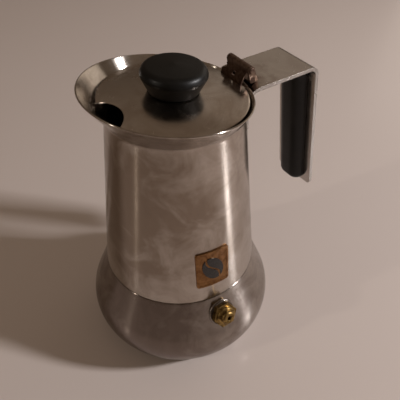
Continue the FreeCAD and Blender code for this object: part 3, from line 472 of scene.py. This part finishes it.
def pot_outline(azimuth):
    """The pot's wall in section at one azimuth: its rim is cut along a tilted plane."""
    east = math.cos(azimuth)

    def rim(offset):
        foot = THROAT_RADIUS - offset - FLARE_SLOPE * THROAT_HEIGHT
        radius = (foot + FLARE_SLOPE * RIM_HEIGHT) / (1 + FLARE_SLOPE * RIM_FALL * east)
        return Vector((radius, RIM_HEIGHT - RIM_FALL * radius * east))

    corners = [
        Vector((POT_RADIUS - WALL, POT_BOTTOM)),
        Vector((POT_RADIUS, POT_BOTTOM)),
        Vector((THROAT_RADIUS, THROAT_HEIGHT)),
        rim(0),
        rim(WALL),
        Vector((THROAT_RADIUS - WALL, THROAT_HEIGHT)),
    ]
    rounded = fillet(corners, {1: 0.6, 2: 5.0, 3: 0.4, 4: 0.4, 5: 5.0 + WALL})
    return run_with_parts(rounded, {7: 48, 14: 10, 28: 10, 35: 40})


def run_with_parts(points, parts_after):
    """Splits the run after certain points into a set number of parts."""
    result = []
    for number, start in enumerate(points):
        end = points[(number + 1) % len(points)]
        parts = parts_after.get(number, 1)
        result += [start.lerp(end, part / parts) for part in range(parts)]
    return result


def make_pot(material):
    mesh = skin(around(pot_outline))
    piece = finish_mesh("pot_wall", mesh, "pot", material)
    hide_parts("pot")


def boiler_outline():
    """The boiler's wall in section, from its underside's middle and back to its inside's."""
    bend = BULGE_BEND
    top = BULGE_CENTRE + Vector((math.cos(SHOULDER_ANGLE), math.sin(SHOULDER_ANGLE))) * bend
    foot = BULGE_CENTRE + Vector((math.cos(FOOT_ANGLE), -math.sin(FOOT_ANGLE))) * bend
    base = foot.x - foot.y * math.tan(FOOT_ANGLE)
    ledge = 55.0
    ledge_radius = top.x - (ledge - top.y) * math.tan(SHOULDER_ANGLE)
    neck = NECK_RADIUS
    neck_top = 66.5
    neck_inside = neck - 1.6
    inside_bend = bend - 1.2
    floor_inside = 1.5
    outside = fillet([Vector((0, 0)), Vector((base, 0)), foot], {1: 6.0}, 10)
    for step in range(1, 40):
        angle = -FOOT_ANGLE + (SHOULDER_ANGLE + FOOT_ANGLE) * step / 40
        outside.append(BULGE_CENTRE + Vector((math.cos(angle), math.sin(angle))) * bend)
    corner = [top, Vector((ledge_radius, ledge)), Vector((neck, ledge))]
    outside += fillet(corner, {1: 0.5})
    rim = [Vector((neck, ledge)), Vector((neck, neck_top)), Vector((neck_inside, neck_top))]
    outside += fillet(rim + [Vector((neck_inside, ledge))], {1: 0.4, 2: 0.4})[1:]
    inside = []
    for step in range(13):
        angle = SHOULDER_ANGLE - (SHOULDER_ANGLE + FOOT_ANGLE) * step / 12
        inside.append(BULGE_CENTRE + Vector((math.cos(angle), math.sin(angle))) * inside_bend)
    inside += [Vector((base - 2.5, floor_inside)), Vector((0, floor_inside))]
    return divide(outside + inside, 1.6)


def make_boiler(material):
    points = boiler_outline()
    pitch = 3.0
    depth = 0.55
    thread_start = 56.5
    thread_end = 65.5

    def threaded(azimuth):
        """The neck carries a rounded thread cut into it."""
        shaped = []
        for point in points:
            on_neck = abs(point.x - NECK_RADIUS) < 0.01 and thread_start < point.y < thread_end
            turn = point.y / pitch - azimuth / (2 * math.pi)
            groove = depth * (0.5 + 0.5 * math.cos(2 * math.pi * turn)) if on_neck else 0
            shaped.append(Vector((point.x - groove, point.y)))
        return shaped

    mesh = skin(around(threaded))
    open_valve_hole(mesh)
    piece = finish_mesh("boiler_wall", mesh, "boiler", material)
    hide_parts("boiler")
    make_valve_boss(material)


def open_valve_hole(mesh):
    """Takes the wall away where the valve's shank goes through it."""
    hole = 4.0
    near_wall = 5.0
    crossed = []
    for face in mesh.faces:
        offset = face.calc_center_median() / MM - VALVE_FOOT
        along = offset.dot(VALVE_AXIS)
        if abs(along) < near_wall and (offset - VALVE_AXIS * along).length < hole:
            crossed.append(face)
    bmesh.ops.delete(mesh, geom=crossed, context="FACES")


def make_valve_boss(material):
    """The flat pad pressed into the shoulder under the valve's washer."""
    corners = [Vector(p) for p in ((4.1, -1.6), (7.9, -1.6), (7.4, 0.45), (4.1, 0.45))]
    points = fillet(corners, {2: 0.35})
    upright = VALVE_AXIS.to_track_quat("Z", "Y").to_matrix()
    loops = around(lambda azimuth: points, 72)
    loops = [[VALVE_FOOT + upright @ point for point in loop] for loop in loops]
    finish_mesh("valve_boss", skin(loops), "boiler", material)


def lid_surface(radius):
    crown = (LID_RADIUS**2 + LID_RISE**2) / (2 * LID_RISE)
    return LID_RISE - crown + math.sqrt(crown**2 - radius**2)


def lid_edge():
    """Points of the lid's outline: a circle with a round bite for the spout and a hinge notch."""
    bite = 13.9
    bite_centre = -41.0
    points = []
    mouth = -(LID_RADIUS**2 + bite_centre**2 - bite**2) / (2 * -bite_centre)
    notch_angle = math.acos(-mouth / LID_RADIUS)
    hinge_half = 8.8
    hinge_reach = 32.95
    hinge_angle = math.asin(hinge_half / LID_RADIUS)
    parts = 150
    for step in range(parts + 1):
        angle = hinge_angle + (math.pi - notch_angle - hinge_angle) * step / parts
        points.append(Vector((LID_RADIUS * math.cos(angle), LID_RADIUS * math.sin(angle))))
    widest = math.acos((mouth - bite_centre) / bite)
    for step in range(1, 24):
        angle = widest * (1 - step / 23)
        points.append(Vector((bite_centre + bite * math.cos(angle), bite * math.sin(angle))))
    lower = [Vector((p.x, -p.y)) for p in reversed(points[:-1])]
    side = [Vector((hinge_reach, y)) for y in (-hinge_half, -6, -3, 0, 3, 6, hinge_half)]
    return points + lower + side


def make_lid(material):
    """A crowned disc whose rings shrink from its outline to the knob's screw."""
    edge = lid_edge()
    bore = 2.0
    thick = LID_THICKNESS
    inset = 0.35

    def ring(share, drop):
        loop = []
        for point in edge:
            length = bore + (point.length - inset - bore) * share
            flat = point.normalized() * length
            loop.append(Vector((flat.x, flat.y, lid_surface(flat.length) - drop)))
        return loop

    def edge_ring(out, drop):
        loop = []
        for point in edge:
            flat = point.normalized() * (point.length - inset + out)
            height = lid_surface(min(flat.length, LID_RADIUS - 0.01)) - drop
            loop.append(Vector((flat.x, flat.y, height)))
        return loop

    shares = [step / 40 for step in range(41)]
    loops = [ring(share, 0) for share in shares]
    for step in range(1, 6):
        angle = math.pi * step / 6
        loops.append(edge_ring(inset * math.sin(angle), thick * (1 - math.cos(angle)) / 2))
    loops += [ring(share, thick) for share in reversed(shares)]
    loops = [[LID_FRAME @ point for point in loop] for loop in loops]
    piece = finish_mesh("lid_disc", skin(loops), "lid", material, 50.0)
    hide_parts("lid")


def make_knob(material):
    low = lid_surface(11.8) + 0.02
    top = 15.4
    corners = [
        (2.0, low + 0.3),
        (10.8, low),
        (11.8, low + 0.7),
        (15.5, top - 4.6),
        (14.1, top - 0.9),
        (0, top + 0.25),
        (0, top - 3),
        (2.0, top - 3),
    ]
    radii = {1: 0.5, 2: 0.5, 3: 2.6, 4: 3.4}
    points = divide(fillet([Vector(p) for p in corners], radii, 10), 0.9)
    loops = around(lambda azimuth: points, 144)
    loops = [[LID_FRAME @ point for point in loop] for loop in loops]
    piece = finish_mesh("knob_moulded", skin(loops), "lid", material)
    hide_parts("knob")


def pot_radius_at(height):
    slope = (POT_RADIUS - THROAT_RADIUS) / (THROAT_HEIGHT - POT_BOTTOM)
    return POT_RADIUS - (height - POT_BOTTOM) * slope


def strip_path():
    """Points on the strip's outer face, each with the way to its inner face."""
    root = pot_radius_at(STRIP_TOP - ROOT_BEND)
    low = Vector((pot_radius_at(ROOT_BOTTOM), ROOT_BOTTOM))
    path = []
    wall_top = Vector((root, STRIP_TOP - ROOT_BEND))
    for step in range(6):
        path.append((low.lerp(wall_top, step / 6), Vector((1, 0))))
    centre = Vector((root + ROOT_BEND, STRIP_TOP - ROOT_BEND))
    for step in range(15):
        angle = math.pi - math.pi / 2 * step / 14
        way = Vector((math.cos(angle), math.sin(angle)))
        path.append((centre + way * ROOT_BEND, -way))
    corner_x = STRIP_CORNER - STRIP_BEND * math.tan((math.pi / 2 - STRIP_LEAN) / 2)
    for step in range(1, 12):
        along = centre.x + (corner_x - centre.x) * step / 12
        path.append((Vector((along, STRIP_TOP)), Vector((0, -1))))
    centre = Vector((corner_x, STRIP_TOP - STRIP_BEND))
    for step in range(13):
        angle = math.pi / 2 - (math.pi / 2 - STRIP_LEAN) * step / 12
        way = Vector((math.cos(angle), math.sin(angle)))
        path.append((centre + way * STRIP_BEND, -way))
    start, way = path[-1]
    end_x = STRIP_CORNER + (STRIP_TOP - STRIP_BOTTOM) * math.tan(STRIP_LEAN)
    end = Vector((end_x, STRIP_BOTTOM))
    straight = 20
    even = 0.92
    crowded = 0.08
    for step in range(1, straight):
        path.append((start.lerp(end, even * step / straight), way))
    for step in range(13):
        share = math.sin(math.pi / 2 * step / 12)
        path.append((start.lerp(end, even + crowded * share), way))
    return path


def make_handle_strip(material):
    """The strip follows its side view, and its root wraps the pot's round wall."""
    parts = 14
    corner = 2.5
    gap = 0.05
    flat_from = 58.0
    wrap_length = 14.0
    loops = []
    for point, way in strip_path():
        cut = max(0.0, corner - (point.y - STRIP_BOTTOM) / math.cos(STRIP_LEAN))
        half = STRIP_HALF_WIDTH - corner + math.sqrt(max(0.0, corner**2 - cut**2))
        across = [half * (2 * step / parts - 1) for step in range(parts + 1)]
        wrap = max(0.0, min(1.0, (flat_from - point.x) / wrap_length))
        loop = []
        for depth, order in ((0.0, 1), (STRIP_THICKNESS, -1)):
            for side in across[::order]:
                place = point + way * depth
                radius = pot_radius_at(min(point.y, STRIP_TOP - ROOT_BEND)) + gap
                fall = radius - math.sqrt(radius**2 - side**2)
                loop.append(Vector((place.x - wrap * fall + gap, side, place.y)))
        loops.append(loop)
    mesh = skin(loops, closed=False, capped=True)
    piece = finish_mesh("handle_strip_steel", mesh, "pot", material, 50.0)
    soften(piece, 0.85)
    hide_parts("handle_strip")


def grip_frame():
    """Origin on the inner face of the handle's upright, level with its end, +Z up along it."""
    drop = STRIP_TOP - STRIP_BOTTOM
    end = Vector((STRIP_CORNER + drop * math.tan(STRIP_LEAN), 0, STRIP_BOTTOM))
    inward = Vector((-math.cos(STRIP_LEAN), 0, -math.sin(STRIP_LEAN))) * STRIP_THICKNESS
    return Matrix.Translation(end + inward) @ Matrix.Rotation(-STRIP_LEAN, 4, "Y")


def make_grip(material):
    """A D-shaped bar with a rounded lower end, cut back at the top for the strip's bend."""
    foot = 0.8
    length = 80.4
    depth = 6.6
    half = 8.5
    front_round = 6.4
    end_round = 5.0
    relief = 5.5
    seam = 0.03
    heights = [end_round * (1 - math.cos(math.pi / 2 * step / 9)) for step in range(10)]
    heights += [end_round + (length - end_round - relief) * step / 26 for step in range(1, 27)]
    heights += [length - relief + relief * step / 4 for step in range(1, 5)]
    loops = []
    for height in heights:
        below = 1 - min(1.0, height / end_round)
        pull = end_round * (1 - math.sqrt(max(0.0, 1 - below**2)))
        back = -max(0.0, height - (length - relief)) - seam
        front = -depth + pull
        side = half - pull
        rounding = min(front_round - pull * 0.9, side - 0.1, back - front - 0.5)
        corners = [(back, -side), (back, side), (front, side), (front, -side)]
        radii = {0: 0.3, 1: 0.3, 2: rounding, 3: rounding}
        outline = fillet([Vector(p) for p in corners], radii, 12)
        loops.append([Vector((p.x, p.y, foot + height)) for p in outline])
    loops = [[grip_frame() @ point for point in loop] for loop in loops]
    mesh = skin(loops, closed=False, capped=True)
    piece = finish_mesh("grip_moulded", mesh, "pot", material, 50.0)
    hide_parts("grip")


def paint(nodes, material):
    for node in nodes:
        piece = frame["nodes"][node]
        piece.data.materials.clear()
        piece.data.materials.append(material)


def make_stage():
    data = bpy.data.meshes.new("table")
    far = 4.0
    low = -0.0001
    corners = [(-far, -far, low), (far, -far, low), (far, far, low), (-far, far, low)]
    data.from_pydata(corners, [], [(0, 1, 2, 3)])
    data.materials.append(table_top())
    table = bpy.data.objects.new("table", data)
    bpy.context.scene.collection.objects.link(table)


# ---------------------------------------------------------------- camera and light


def make_camera():
    data = bpy.data.cameras.new("camera")
    data.lens = 46.8
    data.sensor_width = 36.0
    camera = bpy.data.objects.new("camera", data)
    bpy.context.scene.collection.objects.link(camera)
    place = Vector((-106.54, -175.23, 279.70)) * MM
    ahead = Vector((0.41694, 0.60544, -0.67794)).normalized()
    up = Vector((0.38137, 0.56051, 0.73511))
    right = ahead.cross(up).normalized()
    up = right.cross(ahead)
    turn = Matrix((right, up, -ahead)).transposed().to_4x4()
    camera.matrix_world = Matrix.Translation(place) @ turn
    bpy.context.scene.camera = camera


def make_lamp(name, azimuth, height, distance, size, power, colour):
    """An area lamp that faces the object. Azimuth goes to the right from the camera's side."""
    to_camera = Vector((-0.5672, -0.8236, 0))
    right = Vector((0.8236, -0.5672, 0))
    angle = math.radians(azimuth)
    way = to_camera * math.cos(angle) + right * math.sin(angle)
    data = bpy.data.lights.new(name, "AREA")
    data.shape = "RECTANGLE"
    data.size, data.size_y = size
    data.energy = power
    data.color = colour
    lamp = bpy.data.objects.new(name, data)
    bpy.context.scene.collection.objects.link(lamp)
    lamp.location = way * distance + Vector((0, 0, height))
    middle = Vector((0, 0, 0.08))
    aim = middle - lamp.location
    lamp.rotation_euler = aim.to_track_quat("-Z", "Y").to_euler()


def make_light():
    make_lamp("key", 82, 0.69, 1.2, (0.13, 0.13), 15.2, (1.0, 0.98, 1.0))
    make_lamp("back_card", 155, 0.8, 1.4, (1.1, 0.8), 0.5, (1.0, 0.86, 0.74))
    make_lamp("left_lamp", -61, 0.8, 1.5, (0.03, 0.05), 2.7, (1.0, 0.92, 0.82))
    make_lamp("low_card", 135, 0.55, 1.5, (1.2, 0.5), 1.4, (1.0, 0.88, 0.76))
    make_world()
    bpy.context.scene.view_settings.view_transform = "Standard"


def make_world():
    """Dim warm room light, darkest at the horizon."""
    world = bpy.data.worlds.new("room")
    world.use_nodes = True
    nodes = world.node_tree.nodes
    links = world.node_tree.links
    background = nodes["Background"]
    background.inputs["Color"].default_value = (1.0, 0.74, 0.54, 1)
    height = nodes.new("ShaderNodeSeparateXYZ")
    links.new(nodes.new("ShaderNodeTexCoord").outputs["Generated"], height.inputs[0])
    level = nodes.new("ShaderNodeMapRange")
    level.inputs["From Min"].default_value = 0.0
    level.inputs["From Max"].default_value = 0.8
    level.inputs["To Min"].default_value = 0.06
    level.inputs["To Max"].default_value = 0.185
    links.new(height.outputs["Z"], level.inputs["Value"])
    links.new(level.outputs["Result"], background.inputs["Strength"])
    bpy.context.scene.world = world


# ---------------------------------------------------------------- the whole scene


def make_all():
    turned = (0.02, 0.02, 3.2)
    # The pot's front-left patch is partly real tarnish and partly painted shade: a darker
    # reflection painted into the colour.
    tarnish_and_painted_shade = ((-40, -12, 112), 60)
    # The boiler's front-left patch is painted shade: a darker reflection painted into the colour.
    boiler_painted_shade = ((-45, -24, 26), 75)
    heated_root = ((36, 0, 150), 20)
    pot_steel = steel(
        "pot_steel",
        (0.55, 0.5, 0.45),
        (0.29, 0.236, 0.19),
        0.18,
        turned,
        0.05,
        spun=0.95,
        patch=tarnish_and_painted_shade,
    )
    boiler_steel = steel(
        "boiler_steel",
        (0.46, 0.42, 0.38),
        (0.22, 0.18, 0.157),
        0.2,
        turned,
        0.06,
        spun=0.93,
        patch=boiler_painted_shade,
    )
    lid_steel = steel(
        "lid_steel", (0.55, 0.5, 0.45), (0.36, 0.29, 0.23), 0.2, (0.25, 0.25, 0.3), 0.08
    )
    strip_steel = steel(
        "strip_steel",
        (0.55, 0.51, 0.47),
        (0.17, 0.1, 0.065),
        0.2,
        (0.03, 3.0, 0.03),
        0.08,
        cloudy=0.2,
        patch=heated_root,
        cut_edge_shade_from=13.4,
    )
    inner_steel = steel("inner_steel", (0.6, 0.57, 0.53), (0.42, 0.35, 0.28), 0.34, turned)
    black = phenolic()
    hinge = rusty_steel()
    valve = brass()
    make_boiler(boiler_steel)
    make_pot(pot_steel)
    make_lid(lid_steel)
    make_knob(black)
    make_handle_strip(strip_steel)
    make_grip(black)
    from_cad("hinge_leaf", "hinge_leaf_sheet", "lid", hinge, 0.15)
    from_cad("hinge_bracket", "hinge_bracket_sheet", "pot", hinge, 0.15)
    from_cad("hinge_pin", "hinge_pin_rod", "pot", hinge, 0.15)
    from_cad("badge_plate", "badge_sheet", "pot", badge_bronze(), 0.08)
    from_cad("badge_bean", "badge_bean_relief", "pot", enamel(), 0.08)
    from_cad("valve_body", "valve_body_brass", "boiler", valve, 0.2)
    from_cad("valve_washer", "valve_washer_ring", "boiler", fibre(), 0.12)
    paint(["valve_nut", "valve_seat", "valve_plunger"], valve)
    paint(["gasket"], silicone())
    inner = [
        "funnel",
        "funnel_sieve",
        "filter_plate",
        "thread_ring",
        "pot_floor",
        "coffee_column",
        "column_cap",
        "knob_washer",
        "knob_screw",
        "grip_screws",
        "valve_spring",
    ]
    paint(inner, inner_steel)
    make_stage()
    make_camera()
    make_light()


clear_start_up_objects()
make_all()
